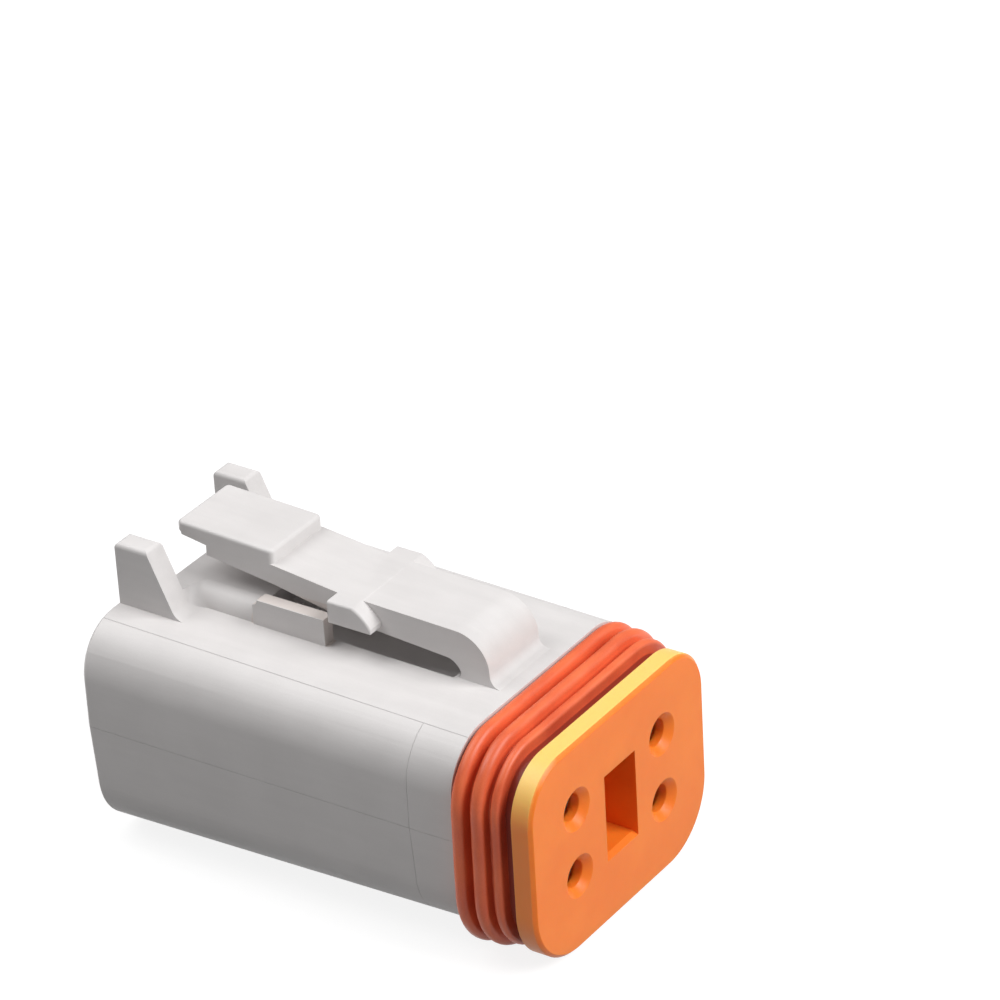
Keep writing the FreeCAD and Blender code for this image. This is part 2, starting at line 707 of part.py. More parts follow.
def make_wire_seal():
    body = new_body("rear_wire_seal")
    outer_face = "(sizes.length_overall - sizes.wire_seal_inset)"
    length = "(sizes.recess_depth - sizes.wire_seal_inset)"
    block = cross_sketch(body, "block_section", outer_face)
    outline(block, recess_steps("sizes.wire_seal_relief"))
    pad(body, "block", block, length)
    for rib in range(1, WIRE_SEAL_RIBS + 1):
        rib_rear = "(%s - %s * %d / %d + sizes.wire_seal_rib / 2)" % (outer_face, length, rib,
                                                                     WIRE_SEAL_RIBS + 1)
        ring = cross_sketch(body, "rib_%d_section" % rib, rib_rear)
        outline(ring, recess_steps("sizes.wire_seal_clearance"))
        pad(body, "rib_%d" % rib, ring, "sizes.wire_seal_rib")

    holes = cross_sketch(body, "wire_hole_circles", outer_face)
    grid_circles(holes, "sizes.wire_hole_diameter")
    pocket(body, "wire_holes", holes, length)
    return body


# Contacts

def make_socket_contact(number, across, up):
    body = new_body("socket_contact_%d" % number, "%d * %s" % (across, CONTACT_ACROSS),
                    "%d * %s" % (up, CONTACT_UP))
    mouth = "-sizes.contact_mouth_station"
    collar_front = "-sizes.contact_stop_station"
    collar_rear = "%s - sizes.contact_collar_length" % collar_front
    crimp_rear = "%s - sizes.contact_rear_length" % collar_rear
    socket_end = "%s - sizes.contact_bore_depth" % mouth
    profile = side_sketch(body, "contact_profile")
    outline(profile, [
        (socket_end, "0"),
        (socket_end, "sizes.contact_bore_diameter / 2"),
        (mouth, "sizes.contact_bore_diameter / 2"),
        (mouth, "sizes.contact_barrel_diameter / 2"),
        (collar_front, "sizes.contact_barrel_diameter / 2"),
        (collar_front, "sizes.contact_collar_diameter / 2"),
        (collar_rear, "sizes.contact_collar_diameter / 2"),
        (collar_rear, "sizes.contact_barrel_diameter / 2"),
        (crimp_rear, "sizes.contact_barrel_diameter / 2"),
        (crimp_rear, "0"),
    ])
    turn(body, "Revolution", "contact", profile)
    tines = side_sketch(body, "tine_slot_side")
    rectangle(tines, "%s - sizes.tine_slot_depth" % mouth, mouth,
              "-sizes.tine_slot_width / 2", "sizes.tine_slot_width / 2")
    pocket(body, "tine_slot", tines, "sizes.contact_collar_diameter", symmetric=True)
    return body


def make_contact_hood(number, across, up):
    body = new_body("contact_hood_%d" % number, "%d * %s" % (across, CONTACT_ACROSS),
                    "%d * %s" % (up, CONTACT_UP))
    inner = "(sizes.contact_barrel_diameter / 2 + sizes.hood_clearance)"
    outer = "(%s + sizes.hood_wall)" % inner
    mouth = "-sizes.contact_mouth_station + sizes.hood_reach"
    rear = "-sizes.contact_stop_station"
    profile = side_sketch(body, "hood_profile")
    rectangle(profile, rear, mouth, inner, outer)
    turn(body, "Revolution", "hood", profile)
    return body


PIECES = [make_housing(), make_latch_arm(), make_interface_seal(), make_wedge_lock(), make_wire_seal()]
for contact_number, (side_across, side_up) in enumerate(CONTACT_SIDES, 1):
    PIECES.append(make_socket_contact(contact_number, side_across, side_up))
    PIECES.append(make_contact_hood(contact_number, side_across, side_up))
doc.recompute()

for item in doc.Objects:
    if "Invalid" in item.State or "Error" in item.State:
        raise RuntimeError("%s is not in order: %s" % (item.Label, item.State))
for piece in PIECES:
    if piece.Shape.isNull() or not piece.Shape.isValid() or len(piece.Shape.Solids) != 1:
        raise RuntimeError("%s is not one good solid" % piece.Label)

os.makedirs("parts", exist_ok=True)
for piece in PIECES:
    piece.Shape.exportStep("parts/%s.step" % piece.Label)
    print("%-20s %9.2f mm3" % (piece.Label, piece.Shape.Volume))
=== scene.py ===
import math

import bmesh
import bpy
from mathutils import Matrix, Vector


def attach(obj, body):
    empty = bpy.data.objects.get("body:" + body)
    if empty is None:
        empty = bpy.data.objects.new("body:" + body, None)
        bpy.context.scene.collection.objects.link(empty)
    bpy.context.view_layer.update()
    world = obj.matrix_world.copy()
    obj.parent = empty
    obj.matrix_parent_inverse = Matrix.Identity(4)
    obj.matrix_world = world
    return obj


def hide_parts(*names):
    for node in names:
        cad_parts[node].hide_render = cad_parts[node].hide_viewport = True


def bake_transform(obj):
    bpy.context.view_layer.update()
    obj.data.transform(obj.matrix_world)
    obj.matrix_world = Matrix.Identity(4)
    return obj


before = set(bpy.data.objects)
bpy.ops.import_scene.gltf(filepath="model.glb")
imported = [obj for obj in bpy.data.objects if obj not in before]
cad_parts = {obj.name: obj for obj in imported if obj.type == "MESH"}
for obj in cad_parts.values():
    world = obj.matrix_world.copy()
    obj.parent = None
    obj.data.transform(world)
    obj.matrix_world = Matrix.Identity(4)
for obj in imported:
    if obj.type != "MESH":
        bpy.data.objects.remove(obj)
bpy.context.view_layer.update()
mm = 0.001
print("frame loaded:", len(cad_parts), "nodes")


# shader helper: sockets that can be added, multiplied and compared like numbers
class Tap:
    def __init__(self, maker, link):
        self.maker = maker
        self.link = link

    def math(self, operation, *others):
        return self.maker.node("ShaderNodeMath", {"operation": operation}, [self, *others])

    def __add__(self, other):
        return self.math("ADD", other)

    def __sub__(self, other):
        return self.math("SUBTRACT", other)

    def __rsub__(self, other):
        return self.maker.node("ShaderNodeMath", {"operation": "SUBTRACT"}, [other, self])

    def __mul__(self, other):
        return self.math("MULTIPLY", other)

    def __truediv__(self, other):
        return self.math("DIVIDE", other)

    def __lt__(self, other):
        return self.math("LESS_THAN", other)

    def __gt__(self, other):
        return self.math("GREATER_THAN", other)

    def __abs__(self):
        return self.math("ABSOLUTE")

    __radd__ = __add__
    __rmul__ = __mul__


class Finish:
    def __init__(self, name, **settings):
        self.material = bpy.data.materials.new(name)
        self.material.use_nodes = True
        self.tree = self.material.node_tree
        self.shader = self.tree.nodes["Principled BSDF"]
        for socket, value in settings.items():
            self.shader.inputs[socket.replace("_", " ")].default_value = value

    # any node: its settings first, then values or links for its sockets, by place or name
    def node(self, kind, settings=None, inputs=(), output=0):
        made = self.tree.nodes.new(kind)
        for key, value in (settings or {}).items():
            setattr(made, key, value)
        pairs = inputs.items() if isinstance(inputs, dict) else enumerate(inputs)
        for socket, value in pairs:
            if isinstance(value, Tap):
                self.tree.links.new(value.link, made.inputs[socket])
            elif value is not None:
                made.inputs[socket].default_value = value
        return Tap(self, made.outputs[output])

    def place(self):
        # Object coordinates in millimetres, as one vector and its three parts
        spot = self.node("ShaderNodeTexCoord", output="Object")
        spot = self.node("ShaderNodeVectorMath", {"operation": "SCALE"}, {0: spot, "Scale": 1 / mm})
        parts = [self.node("ShaderNodeSeparateXYZ", None, [spot], axis) for axis in ("X", "Y", "Z")]
        return spot, parts

    def noise(self, spot, scale, detail=2.0, roughness=0.5, stretch=(1, 1, 1)):
        spot = self.node("ShaderNodeMapping", None, {"Vector": spot, "Scale": stretch})
        return self.node("ShaderNodeTexNoise", None,
                         {"Vector": spot, "Scale": scale, "Detail": detail, "Roughness": roughness})

    def band(self, value, low, high, start=0.0, end=1.0):
        return self.node("ShaderNodeMapRange", {"clamp": True, "interpolation_type": "SMOOTHSTEP"},
                         [value, low, high, start, end])

    def mix(self, share, first, second):
        made = self.tree.nodes.new("ShaderNodeMix")
        made.data_type = "RGBA"
        for socket, value in ((0, share), (6, first), (7, second)):
            if isinstance(value, Tap):
                self.tree.links.new(value.link, made.inputs[socket])
            else:
                made.inputs[socket].default_value = value if socket == 0 else (*value, 1.0)
        return Tap(self, made.outputs[2])

    def bump(self, height):
        # relief, with its height in millimetres
        return self.node("ShaderNodeBump", None, {"Height": height, "Distance": mm, "Strength": 1.0})

    def drive(self, socket, value):
        self.tree.links.new(value.link, self.shader.inputs[socket])

    def roughen(self, pattern, look, faint=0.3, strong=0.7):
        # roughness that follows a pattern between the two ends of its spread
        low, high = (look["roughness"] + part for part in look["roughSpread"])
        self.drive("Roughness", self.band(pattern, faint, strong, low, high))


def clearSelection():
    bpy.ops.object.select_all(action="DESELECT")


def pick(piece):
    clearSelection()
    piece.select_set(True)
    bpy.context.view_layer.objects.active = piece


# how a mesh is cleaned before its edges are rounded: a reach in mm, the rest in degrees
meshCare = {
    "mergeReach": 0.002,
    "flatTurn": 0.6,
    "sharpTurn": 25,
    "smoothTurn": 32,
}


def sharpEdges(piece, wanted):
    # selects, in edit mode, the sharp edges that wanted keeps
    bpy.ops.mesh.select_mode(type="EDGE")
    bpy.ops.mesh.select_all(action="DESELECT")
    shape = bmesh.from_edit_mesh(piece.data)
    count = 0
    for edge in shape.edges:
        turn = edge.calc_face_angle(0.0)
        ends = [point.co / mm for point in edge.verts]
        if math.degrees(turn) > meshCare["sharpTurn"] and wanted(*ends):
            edge.select = True
            count += 1
    shape.select_flush_mode()
    bmesh.update_edit_mesh(piece.data)
    return count


def softCopy(node, name, rounds):
    # a merged copy of a frame node whose flat faces are whole again, with its edges rounded in turn.
    # A round is its edges, width and segments; "free" at its end lifts the limit set by short edges
    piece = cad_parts[node].copy()
    piece.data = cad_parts[node].data.copy()
    for key in list(piece.keys()):
        del piece[key]
    piece.name = piece.data.name = name
    piece.parent = None
    bpy.context.scene.collection.objects.link(piece)
    pick(piece)
    piece.data.materials.clear()
    if piece.data.has_custom_normals:
        bpy.ops.mesh.customdata_custom_splitnormals_clear()
    bpy.ops.object.mode_set(mode="EDIT")
    bpy.ops.mesh.select_all(action="SELECT")
    bpy.ops.mesh.remove_doubles(threshold=meshCare["mergeReach"] * mm)
    bpy.ops.mesh.select_all(action="SELECT")
    bpy.ops.mesh.dissolve_limited(angle_limit=math.radians(meshCare["flatTurn"]))
    for wanted, width, segments, *free in rounds:
        found = sharpEdges(piece, wanted)
        print(name, "rounds", found, "edges by", width)
        if found:
            bpy.ops.mesh.bevel(offset=width * mm, segments=segments, profile=0.5, affect="EDGES",
                               clamp_overlap=not free, offset_type="OFFSET", miter_outer="ARC")
    bpy.ops.object.mode_set(mode="OBJECT")
    bpy.ops.object.shade_smooth_by_angle(angle=math.radians(meshCare["smoothTurn"]))
    # flat faces stay flat beside their rounds
    even = piece.modifiers.new("even", "WEIGHTED_NORMAL")
    even.keep_sharp = True
    bpy.ops.object.modifier_apply(modifier=even.name)
    return piece


def everyEdge(first, second):
    return True


# moulded housing: light grey, satin, with mould seams. Lengths are in mm; a round is its width
# and segments, a box its span along, to either side and up, and a rim takes what lies between
# two stations and outside a rectangle of half width, middle level and half height
housingLook = {
    "colour": (0.70, 0.676, 0.669),
    "shade": (0.64, 0.617, 0.61),
    "roughness": 0.48,
    "roughSpread": (-0.06, 0.07),
    "cloudScale": 0.22,
    "flowScale": 0.9,
    "flowStretch": (0.12, 1, 1),
    "speckScale": 9.0,
    "toneShares": (0.45, 0.35, 0.2),
    "toneSpan": (0.3, 0.7),
    "grain": 0.006,
    "swell": 0.01,
    "seamTone": (0.36, 0.35, 0.34),
    "seamShare": 0.22,
    "seamDepth": 0.035,
    "seamWidth": 0.07,
    "seamLift": 11.1,
    "sideFrom": 11.5,
    "cornerSeam": 9.75,
    "cornerFrom": 17.0,
    "ringBack": 9.95,
    "railTint": (0.64, 0.585, 0.555),
    "railMiddle": (-6.1, 4.1),
    "railHalf": (3.75, 0.75),
    "railRise": (18.0, 19.4),
    "railTop": 22.5,
    "rearRim": (-30.0, -20.6, 12.0, 10.2, 8.9),
    "rimRound": (0.3, 3),
    "shoulderRim": (13.9, 30.0, 11.4, 10.3, 8.3),
    "shoulderRound": (0.2, 3),
    "finBox": ((-20.8, -14.0), (5.4, 7.7), (20.6, 26)),
    "finRound": (0.28, 3),
    "railBox": ((-9.8, -2.4), (3.5, 5.1), (18.2, 22.3)),
    "railRound": (0.14, 3),
    "topBox": ((-19, 13.0), (0, 7), (18.0, 22.5)),      # hump, channel and the latch's pocket
    "innerBox": ((-21.2, 14.0), (0, 12.4), (2.0, 17.9)),      # rear recess and cavities
    "edgeRound": (0.12, 2),
}


def housingFinish():
    look = housingLook
    made = Finish("housingPlastic", Roughness=look["roughness"])
    spot, (x, y, z) = made.place()
    cloud = made.noise(spot, look["cloudScale"], 3.0)
    # faint marks where the melt ran lengthways
    flow = made.noise(spot, look["flowScale"], 3.0, 0.6, look["flowStretch"])
    speck = made.noise(spot, look["speckScale"], 2.0, 0.7)
    half = look["seamWidth"] / 2
    side = made.band(abs(z - look["seamLift"]), half, 0.0) * (abs(y) > look["sideFrom"])
    corner = made.band(abs(abs(y) - look["cornerSeam"]), half, 0.0) * (z > look["cornerFrom"])
    ring = made.band(abs(x - look["ringBack"]), half, 0.0) * (abs(y) > look["cornerSeam"])
    seams = side.math("MAXIMUM", corner).math("MAXIMUM", ring)
    cloudShare, flowShare, speckShare = look["toneShares"]
    tone = cloud * cloudShare + flow * flowShare + speck * speckShare
    colour = made.mix(made.band(tone, *look["toneSpan"]), look["shade"], look["colour"])
    colour = made.mix(seams * look["seamShare"], colour, look["seamTone"])
    along, across = look["railMiddle"]
    rails = (abs(x - along) < look["railHalf"][0]) * (abs(abs(y) - across) < look["railHalf"][1])
    rails = rails * made.band(z, *look["railRise"]) * (z < look["railTop"])
    colour = made.mix(rails, colour, look["railTint"])      # the rails look faintly pink
    made.drive("Base Color", colour)
    made.roughen(flow * 0.5 + speck * 0.5, look)
    relief = speck * look["grain"] - seams * look["seamDepth"] + cloud * look["swell"]
    made.drive("Normal", made.bump(relief))
    return made.material


def zone(xSpan, ySpan, zSpan):
    # keeps the edges that lie wholly within a box, the same on both sides of the plug
    def wanted(first, second):
        return all(xSpan[0] <= point.x <= xSpan[1] and ySpan[0] <= abs(point.y) <= ySpan[1]
                   and zSpan[0] <= point.z <= zSpan[1] for point in (first, second))
    return wanted


def rim(before, beyond, halfWidth, middle, halfHeight):
    # keeps the edges between two stations and outside a rectangle about the plug's axis
    def wanted(first, second):
        return all(before < point.x < beyond and
                   max(abs(point.y) / halfWidth, abs(point.z - middle) / halfHeight) > 1
                   for point in (first, second))
    return wanted


plastic = housingFinish()
housing = softCopy("housing", "mouldedHousing", [
    (rim(*housingLook["rearRim"]), *housingLook["rimRound"]),
    (rim(*housingLook["shoulderRim"]), *housingLook["shoulderRound"]),
    (zone(*housingLook["finBox"]), *housingLook["finRound"]),
    (zone(*housingLook["railBox"]), *housingLook["railRound"]),
    (zone(*housingLook["topBox"]), *housingLook["edgeRound"]),
    (zone(*housingLook["innerBox"]), *housingLook["edgeRound"])])
housing.data.materials.append(plastic)
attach(housing, "plug")
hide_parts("housing")
print("housing done:", len(housing.data.polygons), "faces")


# sprung latch arm, which grows out of the housing's top on a fillet that is widest in front
latchLook = {
    "edgeRound": (0.2, 3),
    "padRound": (0.32, 4, "free"),
    "padEnd": -7.9,
    "padLevel": 25.0,
    "earRound": (0.24, 4),
    "earReach": 4.88,
    "earLevel": 22.6,
    "earRun": 0.15,
    "flushSpan": (-2.6, 1.2),
    "flushLevel": 23.5,
    "cornerSpan": (-2.2, 1.9),
    "cornerLevels": (21.9, 23.95),
    "hair": 0.05,
    "footHalfWidth": 3.43,
    "footFront": 11.87,
    "footBack": 9.27,
    "topLevel": 19.45,
    "rootHeight": 0.95,
    "rootSink": 0.15,
    "rootFront": 1.0,
    "rootSide": 0.12,
    "rootBack": 0.3,
    "rootSteps": 8,
    "rootTurn": 40,
    "bendStart": 19.6,
    "bendEnd": 22.0,
}


def latchFillet():
    look = latchLook
    clearSelection()
    base = (look["topLevel"] - look["rootSink"]) * mm
    bpy.ops.mesh.primitive_plane_add(size=1.0, location=(0, 0, base))
    piece = bpy.context.active_object
    piece.name = piece.data.name = "latchRoot"

    def ring(share):
        # front and back edge and width of the fillet, at a share of its height
        reach = 1 - math.sqrt(1 - (1 - share) ** 2)
        front = look["footFront"] + look["rootFront"] * reach
        back = look["footBack"] - look["rootBack"] * reach
        return front, back, 2 * (look["footHalfWidth"] + look["rootSide"] * reach)

    front, back, width = ring(0.0)
    piece.scale = ((front - back) * mm, width * mm, 1)
    piece.location.x = (front + back) / 2 * mm
    bpy.ops.object.transform_apply(location=True, rotation=True, scale=True)
    bpy.ops.object.mode_set(mode="EDIT")
    bpy.ops.mesh.select_all(action="SELECT")
    height = look["rootHeight"]
    level = -look["rootSink"]
    for step in range(look["rootSteps"] + 1):
        share = step / look["rootSteps"]
        newFront, newBack, newWidth = ring(share)
        rise = share * height - level
        level = share * height
        shift = (newFront + newBack - front - back) / 2
        bpy.ops.mesh.extrude_region_move(TRANSFORM_OT_translate={"value": (shift * mm, 0, rise * mm)})
        middle = ((newFront + newBack) / 2 * mm, 0, (look["topLevel"] + level) * mm)
        bpy.ops.transform.resize(value=((newFront - newBack) / (front - back), newWidth / width, 1),
                                 center_override=middle)
        front, back, width = newFront, newBack, newWidth
    bpy.ops.mesh.select_all(action="SELECT")
    bpy.ops.mesh.normals_make_consistent(inside=False)
    bpy.ops.object.mode_set(mode="OBJECT")
    bpy.ops.object.shade_smooth_by_angle(angle=math.radians(look["rootTurn"]))
    return piece


def onPad(first, second):
    look = latchLook
    return max(first.x, second.x) < look["padEnd"] and min(first.z, second.z) > look["padLevel"]


def onEar(first, second):
    look = latchLook
    outside = min(abs(first.y), abs(second.y)) > look["earReach"] and first.y * second.y > 0
    lengthways = abs(first.x - second.x) > look["earRun"]
    return outside and lengthways and max(first.z, second.z) > look["earLevel"]


def hiddenAtEars(first, second):
    # the ears' tops run flush across the arm, so no edge shows there or in the corners below
    look = latchLook
    flushBack, flushFront = look["flushSpan"]
    cornerBack, cornerFront = look["cornerSpan"]
    low, high = look["cornerLevels"]
    across = (abs(first.x - second.x) < look["hair"] and flushBack < first.x < flushFront
              and min(first.z, second.z) > look["flushLevel"])
    return across or all(abs(abs(point.y) - look["footHalfWidth"]) < look["hair"]
                         and cornerBack < point.x < cornerFront and low < point.z < high
                         for point in (first, second))


def elsewhereOnArm(first, second):
    return not any(kept(first, second) for kept in (onPad, onEar, hiddenAtEars))


latchArm = softCopy("latch_arm", "latchArm", [
    (onEar, *latchLook["earRound"]),
    (onPad, *latchLook["padRound"]),
    (elsewhereOnArm, *latchLook["edgeRound"])])
latchArm.data.materials.append(plastic)
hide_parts("latch_arm")
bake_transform(latchArm)
latchRoot = latchFillet()
latchRoot.data.materials.append(plastic)
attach(latchRoot, "plug")
print("latch done:", len(latchArm.data.polygons), "faces")


# wedge lock: bright orange, smooth, with a painted highlight on its rim: yellow on top, lighter
# orange at the sides
wedgeLook = {
    "colour": (1.0, 0.235, 0.022),
    "deep": (0.94, 0.205, 0.018),
    # painted highlight: the rim's upper faces are painted yellow, its sides a lighter orange
    "rim": (1.0, 0.62, 0.17),
    "paintedSideHighlight": (1.0, 0.29, 0.055),
    "roughness": 0.38,
    "roughSpread": (-0.05, 0.08),
    "specular": 0.35,
    "glow": 0.3,
    "glowReach": 0.002,
    "cloudScale": 0.25,
    "grainScale": 7.0,
    "toneShares": (0.7, 0.3),
    "toneSpan": (0.3, 0.7),
    "grain": 0.006,
    "swell": 0.02,
    "faceStation": 21.15,
    "rimDepths": (0.02, 0.2),
    "rimFacing": (0.75, 0.45),
    "rimHalf": (12.35, 9.15),
    "rimMiddle": 9.35,
    "rimShare": 0.8,
    "highlightRise": (13.5, 17.5),
    "plateBack": 19.0,
    "rimRound": (0.12, 2),
    "roundStation": 20.8,
    "roundMiddle": 9.7,
    "roundReach": 7.0,
    "edgeRound": (0.08, 2),
}


def wedgeFinish():
    look = wedgeLook
    made = Finish("wedgePlastic", Roughness=look["roughness"], Specular_IOR_Level=look["specular"],
                  Subsurface_Weight=look["glow"], Subsurface_Scale=look["glowReach"])
    spot, (x, y, z) = made.place()
    cloud = made.noise(spot, look["cloudScale"], 3.0)
    grain = made.noise(spot, look["grainScale"], 2.0, 0.6)
    cloudShare, grainShare = look["toneShares"]
    tone = made.band(cloud * cloudShare + grain * grainShare, *look["toneSpan"])
    colour = made.mix(tone, look["deep"], look["colour"])
    normal = made.node("ShaderNodeTexCoord", output="Normal")
    facing = made.node("ShaderNodeSeparateXYZ", None, [normal])
    front, back = (look["faceStation"] - depth for depth in look["rimDepths"])
    lip = made.band(x, front, back) * made.band(abs(facing), *look["rimFacing"])
    halfWidth, halfHeight = look["rimHalf"]
    outward = (abs(y) / halfWidth).math("MAXIMUM", abs(z - look["rimMiddle"]) / halfHeight)
    # painted highlight on the plate's rim, yellow at the top and lighter orange lower down
    paintedRimHighlight = made.mix(made.band(z, *look["highlightRise"]), look["paintedSideHighlight"], look["rim"])
    paintedHighlightMask = lip * (outward > look["rimShare"]) * (x > look["plateBack"])
    made.drive("Base Color", made.mix(paintedHighlightMask, colour, paintedRimHighlight))
    made.roughen(grain, look)
    made.drive("Normal", made.bump(grain * look["grain"] + cloud * look["swell"]))
    return made.material


def onPlateRim(first, second):
    look = wedgeLook
    reach = max(abs(first.y), abs(first.z - look["roundMiddle"]))
    return min(first.x, second.x) > look["roundStation"] and reach > look["roundReach"]


def offPlateRim(first, second):
    return not onPlateRim(first, second)


wedge = softCopy("wedge_lock", "wedgeLock", [
    (onPlateRim, *wedgeLook["rimRound"]),
    (offPlateRim, *wedgeLook["edgeRound"])])
wedge.data.materials.append(wedgeFinish())
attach(wedge, "wedge")
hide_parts("wedge_lock")
print("wedge lock done:", len(wedge.data.polygons), "faces")


# silicone seals: red-orange, slightly oily
sealLook = {
    "colour": (0.83, 0.165, 0.06),
    "deep": (0.71, 0.118, 0.046),
    # painted shade for the seal in the gap behind the plate
    "shade": (0.3, 0.04, 0.02),
    "wireColour": (0.74, 0.105, 0.038),
    "wireRound": (0.16, 3),
    "roughness": 0.42,
    "roughSpread": (-0.07, 0.08),
    "specular": 0.45,
    "cloudScale": 0.25,
    "streakScale": 1.1,
    "streakStretch": (2.5, 0.35, 0.35),
    "grainScale": 9.0,
    "toneShares": (0.5, 0.3, 0.2),
    "toneSpan": (0.35, 0.62),
    "grain": 0.006,
    "swell": 0.012,
    "gapDepth": 0.25,
    "rearStation": 14.05,
    "lipStart": 18.2,
    "frontStation": 19.25,
    "wall": 1.0,
    "lipWall": 0.7,
    "ribs": [(14.75, 2.3, 1.1), (16.45, 2.2, 1.15), (17.9, 1.75, 0.85)],      # station, reach, width
    "crownShare": 0.45,
    "crownSteps": 7,
    "crownLift": 1.5,
    "crownHalf": 0.7,
    "rootRound": 0.1,
    "rootSteps": 2,
    "rootSpan": (14.2, 18.0),
    "noseHalf": 10.9,
    "noseTop": 17.25,
    "noseBottom": 2.31,
    "upperRadius": 3.2,
    "lowerRadius": 4.2,
    "cornerSteps": 14,
    "straightSteps": 6,
    "waver": 0.09,
    "waverScale": 5.0,
    "mergeReach": 0.01,
    "smoothTurn": 50,
}


def sealFinish(name, colour):
    look = sealLook
    made = Finish(name, Roughness=look["roughness"], Specular_IOR_Level=look["specular"])
    spot, (x, _, _) = made.place()
    cloud = made.noise(spot, look["cloudScale"], 2.0)
    # faint streaks along the ribs
    streak = made.noise(spot, look["streakScale"], 2.0, 0.5, look["streakStretch"])
    grain = made.noise(spot, look["grainScale"], 2.0, 0.6)
    cloudShare, streakShare, grainShare = look["toneShares"]
    tone = cloud * cloudShare + streak * streakShare + grain * grainShare
    tinted = made.mix(made.band(tone, *look["toneSpan"]), look["deep"], colour)
    # painted shade: the seal is painted dark red in the gap behind the plate, where shade falls
    paintedGapShade = made.band(x, look["lipStart"], look["lipStart"] + look["gapDepth"])
    made.drive("Base Color", made.mix(paintedGapShade, tinted, look["shade"]))
    made.roughen(streak, look)
    made.drive("Normal", made.bump(grain * look["grain"] + streak * look["swell"]))
    return made.material


def drawProfile(name, start, corners):
    # a closed profile drawn point by point, as a face square to Y
    clearSelection()
    bpy.ops.mesh.primitive_plane_add(size=0.2 * mm, location=Vector(start) * mm)
    piece = bpy.context.active_object
    piece.name = piece.data.name = name
    bpy.ops.object.transform_apply(location=True, rotation=True, scale=True)
    bpy.ops.object.mode_set(mode="EDIT")
    bpy.ops.mesh.select_mode(type="VERT")
    bpy.ops.mesh.select_all(action="SELECT")
    bpy.ops.mesh.merge(type="CENTER")
    now = Vector(start)
    for corner in [*corners, start]:
        step = (Vector(corner) - now) * mm
        bpy.ops.mesh.extrude_region_move(TRANSFORM_OT_translate={"value": step})
        now = Vector(corner)
    bpy.ops.mesh.select_all(action="SELECT")
    bpy.ops.mesh.remove_doubles(threshold=sealLook["mergeReach"] * mm)
    bpy.ops.mesh.select_all(action="SELECT")
    bpy.ops.mesh.edge_face_add()
    return piece


def selectPoints(piece, wanted):
    bpy.ops.mesh.select_mode(type="VERT")
    bpy.ops.mesh.select_all(action="DESELECT")
    shape = bmesh.from_edit_mesh(piece.data)
    for point in shape.verts:
        point.select = wanted(point.co / mm)
    shape.select_flush_mode()
    bmesh.update_edit_mesh(piece.data)


def sweepRound(steps, centre):
    bpy.ops.mesh.spin(steps=steps, angle=math.radians(90), center=Vector(centre) * mm,
                      axis=(1, 0, 0))


def sweepStraight(steps, way):
    for _ in range(steps):
        bpy.ops.mesh.extrude_region_move(TRANSFORM_OT_translate={"value": Vector(way) * mm / steps})


def sweepSeal():
    look = sealLook
    half, top, bottom = look["noseHalf"], look["noseTop"], look["noseBottom"]
    upper, lower = look["upperRadius"], look["lowerRadius"]
    start = (look["rearStation"], upper - half, top)
    flat = start[1]
    wallTop, lipTop = top + look["wall"], top + look["lipWall"]
    corners = [(look["frontStation"], flat, top), (look["frontStation"], flat, lipTop)]
    for station, reach, width in reversed(look["ribs"]):
        front, rear = station + width / 2, station - width / 2
        crown = top + reach
        foot = lipTop if len(corners) == 2 else wallTop      # the front rib stands on the thin lip
        corners += [(front, flat, foot), (front, flat, crown),
                    (rear, flat, crown), (rear, flat, wallTop)]
    corners.append((look["rearStation"], flat, wallTop))
    piece = drawProfile("ribbedSeal", start, corners)
    for station, reach, width in look["ribs"]:
        selectPoints(piece, lambda point: (point.z > top + look["crownLift"]
                                           and abs(point.x - station) < look["crownHalf"]))
        bpy.ops.mesh.bevel(offset=look["crownShare"] * width * mm, segments=look["crownSteps"],
                           affect="VERTICES")
    first, last = look["rootSpan"]
    selectPoints(piece, lambda point: (abs(point.z - wallTop) < look["mergeReach"]
                                       and first < point.x < last))
    bpy.ops.mesh.bevel(offset=look["rootRound"] * mm, segments=look["rootSteps"], affect="VERTICES")
    bpy.ops.mesh.select_all(action="SELECT")
    bpy.ops.mesh.delete(type="ONLY_FACE")
    bpy.ops.mesh.select_all(action="SELECT")
    turns, runs = look["cornerSteps"], look["straightSteps"]
    upperLevel, lowerLevel = top - upper, bottom + lower
    sweepStraight(runs, (0, 2 * (half - upper), 0))
    sweepRound(turns, (0, half - upper, upperLevel))
    sweepStraight(runs, (0, 0, lowerLevel - upperLevel))
    sweepRound(turns, (0, half - lower, lowerLevel))
    sweepStraight(runs, (0, -2 * (half - lower), 0))
    sweepRound(turns, (0, lower - half, lowerLevel))
    sweepStraight(runs, (0, 0, upperLevel - lowerLevel))
    sweepRound(turns, (0, upper - half, upperLevel))
    bpy.ops.mesh.select_all(action="SELECT")
    bpy.ops.mesh.remove_doubles(threshold=look["mergeReach"] * mm)
    bpy.ops.mesh.select_all(action="SELECT")
    bpy.ops.mesh.normals_make_consistent(inside=False)
    bpy.ops.object.mode_set(mode="OBJECT")
    waver = piece.modifiers.new("waver", "DISPLACE")      # rubber never lies quite straight
    waver.texture = bpy.data.textures.new("sealWaver", "CLOUDS")
    waver.texture.noise_scale = look["waverScale"] * mm
    waver.texture_coords = "LOCAL"
    waver.direction = "X"
    waver.strength = look["waver"] * 2 * mm
    bpy.ops.object.modifier_apply(modifier=waver.name)
    bpy.ops.object.shade_smooth_by_angle(angle=math.radians(look["smoothTurn"]))
    return piece


interfaceSeal = sweepSeal()
interfaceSeal.data.materials.append(sealFinish("sealSilicone", sealLook["colour"]))
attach(interfaceSeal, "plug")
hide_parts("interface_seal")

